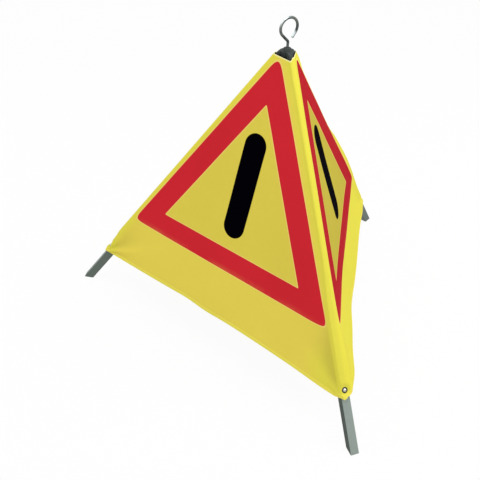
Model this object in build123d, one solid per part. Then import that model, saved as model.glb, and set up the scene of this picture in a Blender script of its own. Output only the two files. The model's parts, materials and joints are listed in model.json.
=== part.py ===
from build123d import *
from math import atan, cos, pi, radians, sin, tan
import os

# Folding warning sign: three square legs under a cloth pyramid, hinged to a head whose spring keeps them spread.
# Millimetres. Z is up, the floor is z = 0, and the origin is the middle of the box round the three feet.
# A leg is drawn in its own upright plane: reach runs down the ridge from the apex, depth goes inwards from it.

# Stance
APEX_HEIGHT = 859.0  # floor to the point where the outer faces of the legs would meet
LEG_ANGLE = 35.264  # leg from the vertical when spread, which makes a regular pyramid
FOLD_ANGLE = 31.0  # how far a leg folds inwards
LEGS = {"front": 330.0, "left": 210.0, "rear": 90.0}
PANELS = {"front": 270.0, "right": 30.0, "back": 150.0}

# Leg tube
TUBE_WIDTH = 24.0
TUBE_WALL = 1.5
TUBE_CORNER = 2.0
TUBE_FROM_PIVOT = 15.0

# Cover
CLOTH = 0.8
OPENING = 43.0  # reach of its top edge
TIP_REACH = 901.0  # reach of its lower tips
TIP_SLOPE = 30.0
PANEL_GAP = 0.3  # panel to the edge of the ridge strip
PANEL_SAG = 8.0  # how far the middle of a hem is drawn inwards
RIDGE_RISE = 8.6  # how far the ridge stands off the tube
RIDGE_DROP = 64.0  # reach over which it comes down to the tube
RIDGE_SEAT = 46.0  # reach that lies on the tube, round the rivet

# Corner fastening
RIVET_INSET = 22.0  # tip of the cover to the rivet
RIVET_SHANK = 4.8
RIVET_HEAD = 9.4
RIVET_RISE = 2.6
RIVET_TAIL = 6.4
WASHER_WIDTH = 17.0
WASHER_THICK = 1.2
WASHER_DISH = 0.5

# Knuckle and pivot
PIN_DIAMETER = 6.0
TONGUE_THICK = 8.0
TONGUE_RADIUS = 7.5
ARM_LENGTH = 20.0  # pivot to the nose that rides in the collar
ARM_ROOT = 5.5  # half height of the arm at the pivot
ARM_WAIST = 2.0  # half height of the arm behind the nose
NOSE_RADIUS = 2.8
END_PLATE = 2.5
PLUG_CORNER = 1.2
PLUG_CLEARANCE = 0.2
SIDE_RIVET_FIRST = 12.0  # from the tube's upper end
SIDE_RIVET_PITCH = 22.0
SIDE_RIVET_COUNT = 2
PLUG_BEYOND = 12.0  # plug beyond the last rivet
SIDE_RIVET_HEAD = 9.0
SIDE_RIVET_CROWN = 6.0
SIDE_RIVET_RISE = 2.0

# Head
ROOF = 9.0  # spring's seat to the top of the boss
BOSS_RISE = 7.0
BOSS_TOP_WIDTH = 17.0
BOSS_BASE_WIDTH = 27.0
BOSS_EDGE = 1.0
HUB_WALL = 4.5
HUB_BELOW_COLLAR = 2.0
EAR_WIDTH = 17.0
EAR_CREST_WIDTH = 9.2
EAR_GAP = 1.5  # crest of an ear to the cover
EAR_SHOULDER = 11.0  # shoulder of an ear beyond the hub
EAR_FALL = 9.8  # drop of the shoulder from the deck

# Hook and collar
WIRE = 7.0
EYE_RADIUS = 24.5
EYE_RISE = 40.4  # middle of the eye above the apex
HOOK_AZIMUTH = 71.0
HOOK_BEND = 45.0
HOOK_BEND_RADIUS = 7.0
TIP_TURN = 35.0
TIP_LENGTH = 16.0
TIP_EDGE = 0.8
ROD_BELOW_NUT = 3.0
COLLAR_WALL = 3.4
COLLAR_FLANGE = 2.6
COLLAR_LIP = 4.5  # flange beyond the groove
RING_THICK = 1.2
RING_WIDTH = 11.6
RING_SEAT = 0.5  # depth of the ring's groove
ROD_WASHER_WIDTH = 16.0
ROD_WASHER_THICK = 1.6
NUT_FLATS = 13.0
NUT_THICK = 6.5
NUT_EDGE_SLOPE = 30.0

# Spring
SPRING_WIRE = 1.5
SPRING_WIRE_SIDES = 8
SPRING_DIAMETER = 16.4
SPRING_TURNS = 7.5
SPRING_ROOM = 34.4  # length left for it when the legs are folded
SPRING_END_GAP = 0.3

# Clearances
RUN = 0.06  # pin or rod in the hole that it turns in
SEAT = 0.02  # pin, rivet or ring in the hole that holds it
SLIDE = 0.2  # flat faces that slide past each other
SWEEP = 1.0  # room round what moves inside the head

# Directions of a leg in its own plane, and of a panel that faces along +X
LEAN = radians(LEG_ANGLE)
HALF_FOLD = radians(FOLD_ANGLE / 2)
HALF_APART = pi / len(LEGS)
PANEL_TILT = atan(cos(HALF_APART) * tan(LEAN))
DOWN = Vector(sin(LEAN), 0, -cos(LEAN))
OUT = Vector(cos(LEAN), 0, sin(LEAN))
SIDE = Vector(0, 1, 0)
PANEL_DOWN = Vector(sin(PANEL_TILT), 0, -cos(PANEL_TILT))
FACE_TO_SIDE = cos(PANEL_TILT) * sin(HALF_APART)
FACE_TO_OUT = cos(LEAN) * cos(HALF_APART) * cos(PANEL_TILT) + sin(LEAN) * sin(PANEL_TILT)


def at(reach, depth=0.0):
    """A point in the plane of a leg."""
    return Vector(0, 0, APEX_HEIGHT) + DOWN * reach - OUT * depth


def across(reach):
    """The plane square to a leg: x is sideways, y outwards, z down the leg."""
    return Plane(origin=at(reach), x_dir=SIDE, z_dir=DOWN)


def ridge_face(reach):
    """The plane of the ridge: x is sideways, z outwards."""
    return Plane(origin=at(reach), x_dir=SIDE, z_dir=OUT)


def through_sides(reach):
    """A plane whose z axis crosses the middle of the tube from side to side."""
    return Plane(origin=at(reach, TUBE_DEPTH), x_dir=DOWN, z_dir=SIDE)


def turned(axis_plane, points):
    """A solid of revolution about a plane's z axis, from points of radius and height."""
    profile = make_face(Polyline(*points, close=True))
    return axis_plane * revolve(Plane.XZ * profile, axis=Axis.Z)


def ring(radius, bore, base, height):
    """A washer on the Z axis."""
    disc = Cylinder(radius, height) - Cylinder(bore, height)
    return Pos(0, 0, base + height / 2) * disc


# Places that follow from the sizes, from the rod outwards
ROD_BORE = WIRE / 2 + RUN
COLLAR_CORE = ROD_BORE + COLLAR_WALL
COLLAR_RADIUS = COLLAR_CORE + COLLAR_LIP
COLLAR_HALF = NOSE_RADIUS + SLIDE + COLLAR_FLANGE
COLLAR_TRAVEL = 2 * ARM_LENGTH * sin(HALF_FOLD)
TUBE_DEPTH = CLOTH + TUBE_WIDTH / 2
PIVOT_RADIUS = COLLAR_CORE + SLIDE + NOSE_RADIUS + ARM_LENGTH
PIVOT_REACH = (PIVOT_RADIUS + TUBE_DEPTH * cos(LEAN)) / sin(LEAN)
PIVOT_Z = at(PIVOT_REACH, TUBE_DEPTH).Z
TUBE_TOP = PIVOT_REACH + TUBE_FROM_PIVOT
PLUG_LENGTH = SIDE_RIVET_FIRST + SIDE_RIVET_PITCH * (SIDE_RIVET_COUNT - 1) + PLUG_BEYOND
SIDE_RIVET_REACHES = [TUBE_TOP + SIDE_RIVET_FIRST + SIDE_RIVET_PITCH * i for i in range(SIDE_RIVET_COUNT)]
COLLAR_REST = PIVOT_Z - ARM_LENGTH * sin(HALF_FOLD)
COLLAR_TOP = COLLAR_REST + COLLAR_HALF
COLLAR_BASE = COLLAR_REST - COLLAR_HALF
CAVITY_RADIUS = COLLAR_RADIUS + SWEEP
HUB_RADIUS = CAVITY_RADIUS + HUB_WALL
HUB_BASE = COLLAR_BASE - HUB_BELOW_COLLAR
SPRING_SEAT = COLLAR_TOP + COLLAR_TRAVEL + SPRING_ROOM
HEAD_TOP = SPRING_SEAT + ROOF
DECK = HEAD_TOP - BOSS_RISE
EYE_Z = APEX_HEIGHT + EYE_RISE
NUT_TOP = COLLAR_BASE - ROD_WASHER_THICK
ROD_END = NUT_TOP - NUT_THICK - ROD_BELOW_NUT
RING_BASE = COLLAR_TOP + SEAT
RIVET_REACH = TIP_REACH - RIVET_INSET
RIVET_BORE = RIVET_SHANK / 2 + SEAT
CREASE = TUBE_WIDTH / 2 + (CLOTH + PANEL_GAP - CLOTH * FACE_TO_OUT) / FACE_TO_SIDE
SEAT_REACH = TIP_REACH - RIDGE_SEAT
DROP_REACH = SEAT_REACH - RIDGE_DROP
RIDGE_NARROWING = RIDGE_RISE * FACE_TO_OUT / FACE_TO_SIDE


def leg_tube():
    """Square tube, cut level at the foot, with holes for its rivets."""
    outside = RectangleRounded(TUBE_WIDTH, TUBE_WIDTH, TUBE_CORNER)
    hollow = TUBE_WIDTH - 2 * TUBE_WALL
    inside = RectangleRounded(hollow, hollow, TUBE_CORNER - TUBE_WALL)
    section = across(TUBE_TOP) * Pos(0, -TUBE_DEPTH) * (outside - inside)
    bar = extrude(section, amount=2 * APEX_HEIGHT)
    bar = split(bar, bisect_by=Plane.XY, keep=Keep.TOP)
    bar -= ridge_face(RIVET_REACH) * Cylinder(RIVET_BORE, 2 * TUBE_DEPTH)
    for reach in SIDE_RIVET_REACHES:
        bar -= through_sides(reach) * Cylinder(RIVET_BORE, 2 * TUBE_WIDTH)
    return bar


def knuckle():
    """Plug in the tube, end plate, tongue on the pivot and inner arm with a round nose, in one casting."""
    middle = across(TUBE_TOP) * Pos(0, -TUBE_DEPTH)
    width = TUBE_WIDTH - 2 * (TUBE_WALL + PLUG_CLEARANCE)
    body = extrude(middle * RectangleRounded(width, width, PLUG_CORNER), amount=PLUG_LENGTH)
    body += extrude(middle * RectangleRounded(TUBE_WIDTH, TUBE_WIDTH, TUBE_CORNER), amount=-END_PLATE)
    for reach in SIDE_RIVET_REACHES:
        body -= through_sides(reach) * Cylinder(RIVET_BORE, 2 * TUBE_WIDTH)
    pivot = Pos(PIVOT_RADIUS, PIVOT_Z)
    nose = pivot * Pos(-ARM_LENGTH * cos(HALF_FOLD), -ARM_LENGTH * sin(HALF_FOLD))
    root = at(TUBE_TOP, TUBE_DEPTH)
    neck = make_hull((pivot * Circle(TONGUE_RADIUS)).edges() + (Pos(root.X, root.Z) * Circle(TONGUE_RADIUS)).edges())
    arm = make_hull((pivot * Circle(ARM_ROOT)).edges() + (nose * Circle(ARM_WAIST)).edges())
    side = neck + arm + nose * Circle(NOSE_RADIUS) - pivot * Circle(PIN_DIAMETER / 2 + RUN)
    tongue = extrude(Plane.XZ * side, amount=TONGUE_THICK / 2, both=True)
    return body + tongue


def knuckle_rivets():
    """Rivets with two formed heads, which hold the plug in the tube."""
    face = TUBE_WIDTH / 2
    crown = face + SIDE_RIVET_RISE
    right = [(RIVET_SHANK / 2, face), (SIDE_RIVET_HEAD / 2, face), (SIDE_RIVET_CROWN / 2, crown), (0, crown)]
    left = [(r, -z) for r, z in reversed(right)]
    return Compound([turned(through_sides(reach), left + right).solid() for reach in SIDE_RIVET_REACHES])


def ridge_strip():
    """Strip along the ridge: it stands off the tube, widens as it comes down to it and ends in a point."""
    half = TUBE_WIDTH / 2
    narrow = half - RIDGE_NARROWING
    shoulder = TIP_REACH - half * tan(radians(TIP_SLOPE))
    edge = [(OPENING, narrow), (DROP_REACH, narrow), (SEAT_REACH, half), (shoulder, half)]
    mirrored = [(reach, -side) for reach, side in reversed(edge)]
    flat = make_face(Polyline(*edge, (TIP_REACH, 0), *mirrored, close=True))
    flat -= Pos(RIVET_REACH, 0) * Circle(RIVET_BORE)
    ridge = Plane(origin=at(0, CLOTH), x_dir=DOWN, z_dir=OUT)
    cut = extrude(ridge * flat, amount=CLOTH + RIDGE_RISE)
    outer = [(OPENING, RIDGE_RISE), (DROP_REACH, RIDGE_RISE), (SEAT_REACH, 0), (TIP_REACH, 0)]
    inner = [(reach, rise - CLOTH) for reach, rise in reversed(outer)]
    side_plane = Plane(origin=at(0), x_dir=DOWN, z_dir=-SIDE)
    return cut & extrude(side_plane * make_face(Polyline(*outer, *inner, close=True)), amount=half, both=True)


def corner_washer():
    """Dished ring under the rivet's head."""
    rim = WASHER_WIDTH / 2
    points = [(RIVET_BORE, 0), (rim, 0), (rim - WASHER_DISH, WASHER_THICK - WASHER_DISH),
              (RIVET_HEAD / 2 + WASHER_DISH, WASHER_THICK), (RIVET_BORE, WASHER_THICK)]
    return turned(ridge_face(RIVET_REACH), points)


def corner_rivet():
    """Domed rivet through the washer, the cloth and the wall of the tube, spread inside it."""
    head = RIVET_HEAD / 2
    shank = RIVET_SHANK / 2
    inside = -CLOTH - TUBE_WALL
    crest = WASHER_THICK + RIVET_RISE
    dome = (head**2 + RIVET_RISE**2) / (2 * RIVET_RISE)
    half_turn = atan(RIVET_RISE / head)
    shoulder = (dome * sin(half_turn), crest - dome * (1 - cos(half_turn)))
    edge = Polyline((0, crest), (0, inside - RIVET_RISE), (RIVET_TAIL / 2, inside - RIVET_RISE),
                    (RIVET_TAIL / 2, inside), (shank, inside), (shank, WASHER_THICK), (head, WASHER_THICK))
    profile = make_face(edge.edges() + [ThreePointArc((head, WASHER_THICK), shoulder, (0, crest))])
    return ridge_face(RIVET_REACH) * revolve(Plane.XZ * profile, axis=Axis.Z)


def pivot_pin():
    """Pin across the two cheeks of an ear."""
    return Pos(PIVOT_RADIUS, 0, PIVOT_Z) * Rot(90, 0, 0) * Cylinder(PIN_DIAMETER / 2, EAR_WIDTH - SLIDE)


def panel():
    """One cloth face, drawn inwards a little more towards its hem. It is made facing +X."""
    hem = TIP_REACH - CREASE * tan(radians(TIP_SLOPE))
    hem_half = crease(hem, 0).Y
    edges = [crease(OPENING, RIDGE_RISE), crease(DROP_REACH, RIDGE_RISE), crease(SEAT_REACH, 0), crease(hem, 0)]
    return loft([panel_section(edge, hem_half) for edge in edges], ruled=True)


def crease(reach, rise):
    """Where a panel folds into the ridge of the leg on its left, at a height above the tube."""
    place = at(reach, -rise)
    side = CREASE - rise * FACE_TO_OUT / FACE_TO_SIDE
    x = place.X * cos(HALF_APART) + side * sin(HALF_APART)
    y = place.X * sin(HALF_APART) - side * cos(HALF_APART)
    return Vector(x, y, place.Z)


def panel_section(edge, hem_half):
    """The cloth from crease to crease, bowed inwards in proportion to its width."""
    half = edge.Y
    sag = PANEL_SAG * half / hem_half
    outer = ThreePointArc((-half, 0), (0, -sag), (half, 0))
    inner = ThreePointArc((half, -CLOTH), (0, -sag - CLOTH), (-half, -CLOTH))
    sides = [Line((half, 0), (half, -CLOTH)), Line((-half, -CLOTH), (-half, 0))]
    return Plane(origin=(edge.X, 0, edge.Z), x_dir=SIDE, z_dir=PANEL_DOWN) * make_face([outer, inner, *sides])


def head_block():
    """Moulded head: a hub round the spring, a boss for the rod and three slotted ears for the knuckles."""
    body = Pos(0, 0, (DECK + HUB_BASE) / 2) * Cylinder(HUB_RADIUS, DECK - HUB_BASE)
    boss = Cone(BOSS_BASE_WIDTH / 2, BOSS_TOP_WIDTH / 2, BOSS_RISE)
    body += Pos(0, 0, DECK + BOSS_RISE / 2) * chamfer(boss.edges().group_by(Axis.Z)[-1], BOSS_EDGE)
    for azimuth in LEGS.values():
        body += Rot(0, 0, azimuth) * ear()
    body -= Pos(0, 0, (SPRING_SEAT + HUB_BASE) / 2) * Cylinder(CAVITY_RADIUS, SPRING_SEAT - HUB_BASE)
    body -= Pos(0, 0, HEAD_TOP) * Cylinder(ROD_BORE, 4 * ROOF)
    pin_hole = Pos(PIVOT_RADIUS, 0, PIVOT_Z) * Rot(90, 0, 0) * Cylinder(PIN_DIAMETER / 2 + SEAT, 2 * EAR_WIDTH)
    for azimuth in LEGS.values():
        body -= Rot(0, 0, azimuth) * ear_slot()
        body -= Rot(0, 0, azimuth) * pin_hole
    return body


def ear():
    """One ear: a rounded lug whose crest follows the ridge of the cover and slopes off beside it."""
    lug = TUBE_DEPTH - CLOTH - EAR_GAP
    floor = PIVOT_Z - lug
    root = Polyline(
        (0, DECK), (HUB_RADIUS, DECK), (HUB_RADIUS + EAR_SHOULDER, DECK - EAR_FALL), (HUB_RADIUS, floor), (0, floor))
    outline = make_hull(root.edges() + (Pos(PIVOT_RADIUS, PIVOT_Z) * Circle(lug)).edges())
    lobe = extrude(Plane.XZ * outline, amount=EAR_WIDTH / 2, both=True)
    half = EAR_WIDTH / 2
    crest = EAR_CREST_WIDTH / 2
    top = RIDGE_RISE - CLOTH - EAR_GAP
    eaves = top - (half - crest) * FACE_TO_SIDE / FACE_TO_OUT
    below = HUB_BASE - APEX_HEIGHT - HUB_RADIUS
    roof = Polyline((-half, below), (half, below), (half, eaves), (crest, top), (-crest, top), (-half, eaves),
                    close=True)
    return lobe & extrude(across(0) * make_face(roof), amount=2 * TUBE_TOP)


def ear_slot():
    """Room in an ear and in the hub's wall for the tongue and the arm to swing."""
    eye_room = TONGUE_RADIUS + SWEEP
    arm_top = PIVOT_Z + ARM_LENGTH * sin(HALF_FOLD) + NOSE_RADIUS + SWEEP
    far = PIVOT_RADIUS + 2 * TUBE_WIDTH
    low = HUB_BASE - TUBE_WIDTH
    swing = make_face(Polyline(
        (0, arm_top), (PIVOT_RADIUS - TONGUE_RADIUS, arm_top), (PIVOT_RADIUS, PIVOT_Z),
        (PIVOT_RADIUS, PIVOT_Z + eye_room), (far, PIVOT_Z + eye_room), (far, low), (0, low), close=True))
    swing += Pos(PIVOT_RADIUS, PIVOT_Z) * Circle(eye_room)
    return extrude(Plane.XZ * swing, amount=TONGUE_THICK / 2 + SLIDE, both=True)


def hook():
    """Bent wire: a rod through the head and the collar, and an open eye above."""
    bend = radians(HOOK_BEND)
    turn = radians(TIP_TURN)
    knee = (0, EYE_Z - EYE_RADIUS / sin(bend))
    eye_start = (-EYE_RADIUS * cos(bend), EYE_Z - EYE_RADIUS * sin(bend))
    eye_end = (EYE_RADIUS * cos(turn), EYE_Z - EYE_RADIUS * sin(turn))
    tip = (eye_end[0] - TIP_LENGTH * sin(turn), eye_end[1] - TIP_LENGTH * cos(turn))
    shank = FilletPolyline((0, ROD_END), knee, eye_start, radius=HOOK_BEND_RADIUS)
    eye = CenterArc((0, EYE_Z), EYE_RADIUS, 180 + HOOK_BEND, -(180 + HOOK_BEND + TIP_TURN))
    path = Plane.XZ * Wire([*shank.edges(), eye, Line(eye_end, tip)])
    body = sweep(Pos(0, 0, ROD_END) * Circle(WIRE / 2), path=path)
    end_faces = [body.faces().sort_by_distance((x, 0, z))[0] for x, z in ((0, ROD_END), tip)]
    body = chamfer([face.edge() for face in end_faces], TIP_EDGE)
    return body - ring(WIRE, WIRE / 2 - RING_SEAT, COLLAR_TOP, RING_THICK + 2 * SEAT)


def hook_ring():
    """Ring in the rod's groove, on top of the collar."""
    return ring(RING_WIDTH / 2, WIRE / 2 - RING_SEAT + SEAT, RING_BASE, RING_THICK)


def hook_washer():
    """Washer under the collar."""
    return ring(ROD_WASHER_WIDTH / 2, WIRE / 2 + SEAT, NUT_TOP, ROD_WASHER_THICK)


def hook_nut():
    """Hexagon nut that holds the collar on the rod."""
    flat = NUT_FLATS / 2
    corner = flat / cos(pi / 6)
    edge = (corner - flat) * tan(radians(NUT_EDGE_SLOPE))
    hexagon = extrude(RegularPolygon(flat, 6, major_radius=False), amount=NUT_THICK)
    rounded = turned(Plane.XY, [(0, 0), (flat, 0), (corner, edge), (corner, NUT_THICK - edge), (flat, NUT_THICK),
                                (0, NUT_THICK)])
    bore = Cylinder(WIRE / 2 + SEAT, 2 * NUT_THICK)
    return Pos(0, 0, NUT_TOP - NUT_THICK) * ((hexagon & rounded) - bore)


def collar():
    """Spool on the rod whose groove carries the three inner arms."""
    groove = COLLAR_HALF - COLLAR_FLANGE
    lower = [(ROD_BORE, -COLLAR_HALF), (COLLAR_RADIUS, -COLLAR_HALF), (COLLAR_RADIUS, -groove), (COLLAR_CORE, -groove)]
    upper = [(r, -z) for r, z in reversed(lower)]
    return Pos(0, 0, COLLAR_REST) * turned(Plane.XY, lower + upper)


def return_spring():
    """Open coil between the seat in the head and the collar, in quarter turns of two tangent arcs each."""
    quarters = round(4 * SPRING_TURNS)
    step = 2 * pi * SPRING_TURNS / quarters
    arcs = [arc for i in range(quarters) for arc in two_arcs(i * step, (i + 1) * step)]
    start = Plane(origin=spring_point(0), x_dir=(1, 0, 0), z_dir=spring_heading(0))
    print("return_spring: least gap between turns", round(least_spring_gap(), 2), "mm")
    return sweep(start * RegularPolygon(SPRING_WIRE / 2, SPRING_WIRE_SIDES), path=Wire(arcs))


def spring_rise():
    """Height that the middle of the wire gains in one radian."""
    ends = 2 * SPRING_END_GAP + SPRING_WIRE
    return (SPRING_SEAT - COLLAR_TOP - ends) / (2 * pi * SPRING_TURNS)


def spring_point(turn):
    low = COLLAR_TOP + SPRING_END_GAP + SPRING_WIRE / 2
    radius = SPRING_DIAMETER / 2
    return Vector(radius * cos(turn), radius * sin(turn), low + spring_rise() * turn)


def spring_heading(turn):
    radius = SPRING_DIAMETER / 2
    return Vector(-radius * sin(turn), radius * cos(turn), spring_rise()).normalized()


def two_arcs(first, last):
    """Two arcs that leave and reach the coil along its own direction and meet smoothly between."""
    start, end = spring_point(first), spring_point(last)
    out, back = spring_heading(first), spring_heading(last)
    chord = end - start
    square = 2 * (1 - out.dot(back))
    lean = chord.dot(out + back)
    arm = (-lean + (lean**2 + square * chord.dot(chord)) ** 0.5) / square
    corner, other = start + out * arm, end - back * arm
    middle = (corner + other) * 0.5
    return [TangentArc(start, middle, tangent=out), TangentArc(middle, end, tangent=other - corner)]


def least_spring_gap():
    """Least distance between turns of the spring, less its wire, on points along it."""
    per_turn = 24
    places = [spring_point(2 * pi * i / per_turn) for i in range(round(per_turn * SPRING_TURNS) + 1)]
    spans = [(a - b).length for i, a in enumerate(places) for b in places[i + per_turn // 2:]]
    return min(spans) - SPRING_WIRE


parts = {"head_block": head_block(), "return_spring": return_spring(), "collar": collar()}

hook_pieces = {"hook": hook(), "hook_ring": hook_ring(), "hook_washer": hook_washer(), "hook_nut": hook_nut()}
for name, shape in hook_pieces.items():
    parts[name] = Rot(0, 0, HOOK_AZIMUTH) * shape

leg_pieces = {
    "leg_tube": leg_tube(), "knuckle": knuckle(), "knuckle_rivets": knuckle_rivets(), "pivot_pin": pivot_pin(),
    "ridge_strip": ridge_strip(), "corner_washer": corner_washer(), "corner_rivet": corner_rivet(),
}
for side, azimuth in LEGS.items():
    for name, shape in leg_pieces.items():
        parts[f"{name}_{side}"] = Rot(0, 0, azimuth) * shape

cover_panel = panel()
for side, azimuth in PANELS.items():
    parts[f"panel_{side}"] = Rot(0, 0, azimuth) * cover_panel

# The middle of the box round the feet becomes the origin
feet = Compound([parts[f"leg_tube_{side}"].solid() for side in LEGS]).bounding_box()
AXIS_X = -feet.center().X
AXIS_Y = -feet.center().Y

os.makedirs("parts", exist_ok=True)
for name, shape in parts.items():
    export_step(Pos(AXIS_X, AXIS_Y, 0) * shape, f"parts/{name}.step")
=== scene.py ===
"""Looks of a folding warning sign: cover, legs, head, hook and a plain studio."""
import json
import math

import bpy
import numpy as np
from bpy.props import FloatProperty, FloatVectorProperty, IntProperty, PointerProperty
from mathutils import Matrix, Vector


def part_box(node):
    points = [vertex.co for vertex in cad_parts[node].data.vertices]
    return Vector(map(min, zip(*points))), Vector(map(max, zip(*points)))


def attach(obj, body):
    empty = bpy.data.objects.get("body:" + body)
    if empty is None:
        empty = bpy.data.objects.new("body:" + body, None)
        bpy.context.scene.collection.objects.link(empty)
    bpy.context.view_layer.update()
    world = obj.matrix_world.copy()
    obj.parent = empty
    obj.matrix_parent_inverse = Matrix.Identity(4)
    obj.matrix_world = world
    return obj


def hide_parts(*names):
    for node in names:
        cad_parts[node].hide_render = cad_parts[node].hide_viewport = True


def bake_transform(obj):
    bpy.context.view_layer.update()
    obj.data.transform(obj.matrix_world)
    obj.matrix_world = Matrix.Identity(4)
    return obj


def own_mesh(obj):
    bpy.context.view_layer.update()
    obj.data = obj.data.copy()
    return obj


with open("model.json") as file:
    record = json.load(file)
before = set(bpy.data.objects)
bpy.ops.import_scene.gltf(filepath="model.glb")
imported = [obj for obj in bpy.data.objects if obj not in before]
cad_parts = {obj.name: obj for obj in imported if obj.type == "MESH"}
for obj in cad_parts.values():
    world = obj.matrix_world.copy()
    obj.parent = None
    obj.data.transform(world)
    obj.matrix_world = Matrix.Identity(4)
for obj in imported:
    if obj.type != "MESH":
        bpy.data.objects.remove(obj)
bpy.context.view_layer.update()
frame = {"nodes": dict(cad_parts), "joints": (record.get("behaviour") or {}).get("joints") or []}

bl_info = {
    "name": "Folding warning sign",
    "version": (1, 0, 0),
    "blender": (4, 5, 0),
    "location": "3D View > Sidebar > Sign",
    "description": "Builds the cover, fittings and finishes of a folding warning sign round its frame",
    "category": "Object",
}

IMAGE_PIXELS = 480
MM = 0.001

# The frame's own joints give the axis of the tripod and the way that each leg points
JOINTS = {joint["name"]: joint for joint in frame["joints"]}
AXIS = Vector((*JOINTS["hook_swivel"]["pos_m"][:2], 0.0))
LEG_NAMES = ("front", "left", "rear")
PIVOTS = {name: Vector(JOINTS[f"leg_{name}_fold"]["pos_m"]) - AXIS for name in LEG_NAMES}
AZIMUTHS = {name: math.atan2(p.y, p.x) for name, p in PIVOTS.items()}
SIXTH = math.pi / 3
UP = np.array((0.0, 0.0, 1.0))
WHITE = (1.0, 1.0, 1.0, 1.0)

# Which panel lies on each side of a leg, going round against the clock
PANEL_BEFORE = {"front": "front", "rear": "right", "left": "back"}
PANEL_AFTER = {"front": "right", "rear": "back", "left": "front"}

# How each panel is cut and hangs, in metres, with pairs for its two ends, going against the clock: drop of
# the top edge, drop of the hem in the middle and how much lower it is at the ends, how far the corners are
# lifted and the panel is drawn in, place of the print and a factor that darkens it on the right and back
# panels as painted shade, share of the more orange yellow, which is none on the right panel so that its
# greener yellow is a painted light tone of its lit side, and reach of its greener lower corners
PANEL_CUTS = {
    "front": {"top": (0.0620, 0.0656), "hem": 0.8045, "hem_ends": (0.0082, 0.0120), "lift": (0.0, 0.0065),
              "sag": 0.0, "print_shift": -0.0065, "ink": 1.0, "fade": 1.0, "greener": (0.045, 0.110)},
    "right": {"top": (0.0592, 0.0620), "hem": 0.8066, "hem_ends": (0.0010, 0.0010), "lift": (0.0, 0.0),
              "sag": 0.0045, "print_shift": 0.0016, "ink": 0.72, "fade": 0.0, "greener": (0.045, 0.045)},
    "back": {"top": (0.0620, 0.0620), "hem": 0.8050, "hem_ends": (0.0080, 0.0080), "lift": (0.0, 0.0),
             "sag": 0.0060, "print_shift": 0.0, "ink": 0.9, "fade": 0.5, "greener": (0.060, 0.060)},
}
PANEL_LEGS = {"front": ("left", "front"), "right": ("front", "rear"), "back": ("rear", "left")}

# Half width of the ridge over each leg at some drops, in metres, narrow where it stands high above the leg
RIDGE_HALVES = {
    "front": ((0.100, 0.0058), (0.140, 0.0053), (0.470, 0.0053), (0.630, 0.0098), (0.760, 0.0102),
              (0.800, 0.0080)),
    "left": ((0.100, 0.0058), (0.440, 0.0060), (0.720, 0.0060), (0.775, 0.0092)),
    "rear": ((0.080, 0.0058), (0.130, 0.0115), (0.360, 0.0115), (0.440, 0.0072), (0.640, 0.0072),
             (0.740, 0.0092)),
}

# Drops over which the round fold of the slack rear ridge begins and ends, and width of its swell, in metres
SLACK_START = (0.080, 0.130)
SLACK_END = (0.360, 0.440)
SWELL_SPREAD = 0.016

# How strong the painted shade is on the sewn side of a ridge, and the drops over which it begins, in metres
SEAM_SHADE = 0.6
SEAM_SHADE_START = (0.400, 0.600)

# Radius that each corner rivet presses flat, in metres, and how sharply the pressed round ends
RIVET_DIMPLES = {"front": 0.0145, "left": 0.0120, "rear": 0.0145}
DIMPLE_POWER = 6

# Uneven cut of each hem: place and half width as shares of half the panel, and drop in metres
HEM_CUTS = {
    "front": ((-0.42, 0.14, -0.0018), (-0.24, 0.12, -0.0034), (-0.05, 0.08, 0.0015), (0.84, 0.13, 0.0026)),
    "right": ((-0.94, 0.07, -0.0060),),
    "back": ((-0.30, 0.20, 0.0016), (0.45, 0.16, -0.0014)),
}

# Share of half the panel from which a corner is lifted
LIFT_START = 0.92

# Waves along each hem: place from the middle of the panel, half width and height, and their reach up the
# cloth, in metres
HEM_WAVES = {
    "front": ((-0.150, 0.110, 0.0020), (0.120, 0.130, -0.0016)),
    "right": ((0.380, 0.072, 0.0056), (-0.095, 0.085, -0.0078), (-0.382, 0.085, 0.0100)),
    "back": ((-0.260, 0.090, 0.0050), (0.040, 0.120, -0.0040), (0.300, 0.080, 0.0045)),
}
HEM_WAVE_REACH = 0.130

# Depth of the hollow beside the foot of each leg, and height of the folds that fan out from its rivet, at
# the two ends of each panel, in metres
FOOT_HOLLOWS = {"front": (0.0020, 0.0085), "right": (0.0015, 0.0020), "back": (0.0030, 0.0030)}
CORNER_FOLDS = {"front": (0.0042, 0.0016), "right": (0.0014, 0.0014), "back": (0.0024, 0.0024)}

# A foot hollow, in metres: height above the lower edge, half length and distance from the tube, heights
# over which it begins and narrows, and how much it narrows
HOLLOW_HEIGHT = 0.075
HOLLOW_RUN = 0.130
HOLLOW_BESIDE = 0.036
HOLLOW_START = (-0.010, 0.050)
HOLLOW_TAPER = (0.080, 0.240)
HOLLOW_NARROWING = 0.7

# The fan of folds at a rivet: direction above the hem and half width in degrees, and share of the height.
# They are highest at this reach from the rivet, in metres
FAN_FOLDS = ((20.0, 7.0, 1.0), (37.0, 8.0, -1.1), (7.0, 5.0, -0.35))
FAN_REACH = 0.036

# Distances from the tube and from the crease over which the cloth comes to its full shape, in metres
TUBE_CLEARANCE = 0.014
CREASE_CLEARANCE = 0.012

# Slow waves of the cloth: radians to a metre across and down, and a start, then a start for each panel
SLOW_WAVES = ((23.0, 9.0, 0.6), (-15.0, 17.0, 1.9), (36.0, -6.0, 0.3), (9.0, 31.0, 2.7))
WAVE_STARTS = {"front": 0.4, "right": 2.1, "back": 4.0}

# Start and end of the hem's step, from the hem's width, and rounding of the lower edge, in metres, and the
# share of the hem's height that is lost at that edge
HEM_STEP = (-0.0009, 0.0004)
HEM_ROUNDING = 0.0012
HEM_EDGE_LOSS = 0.5
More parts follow.
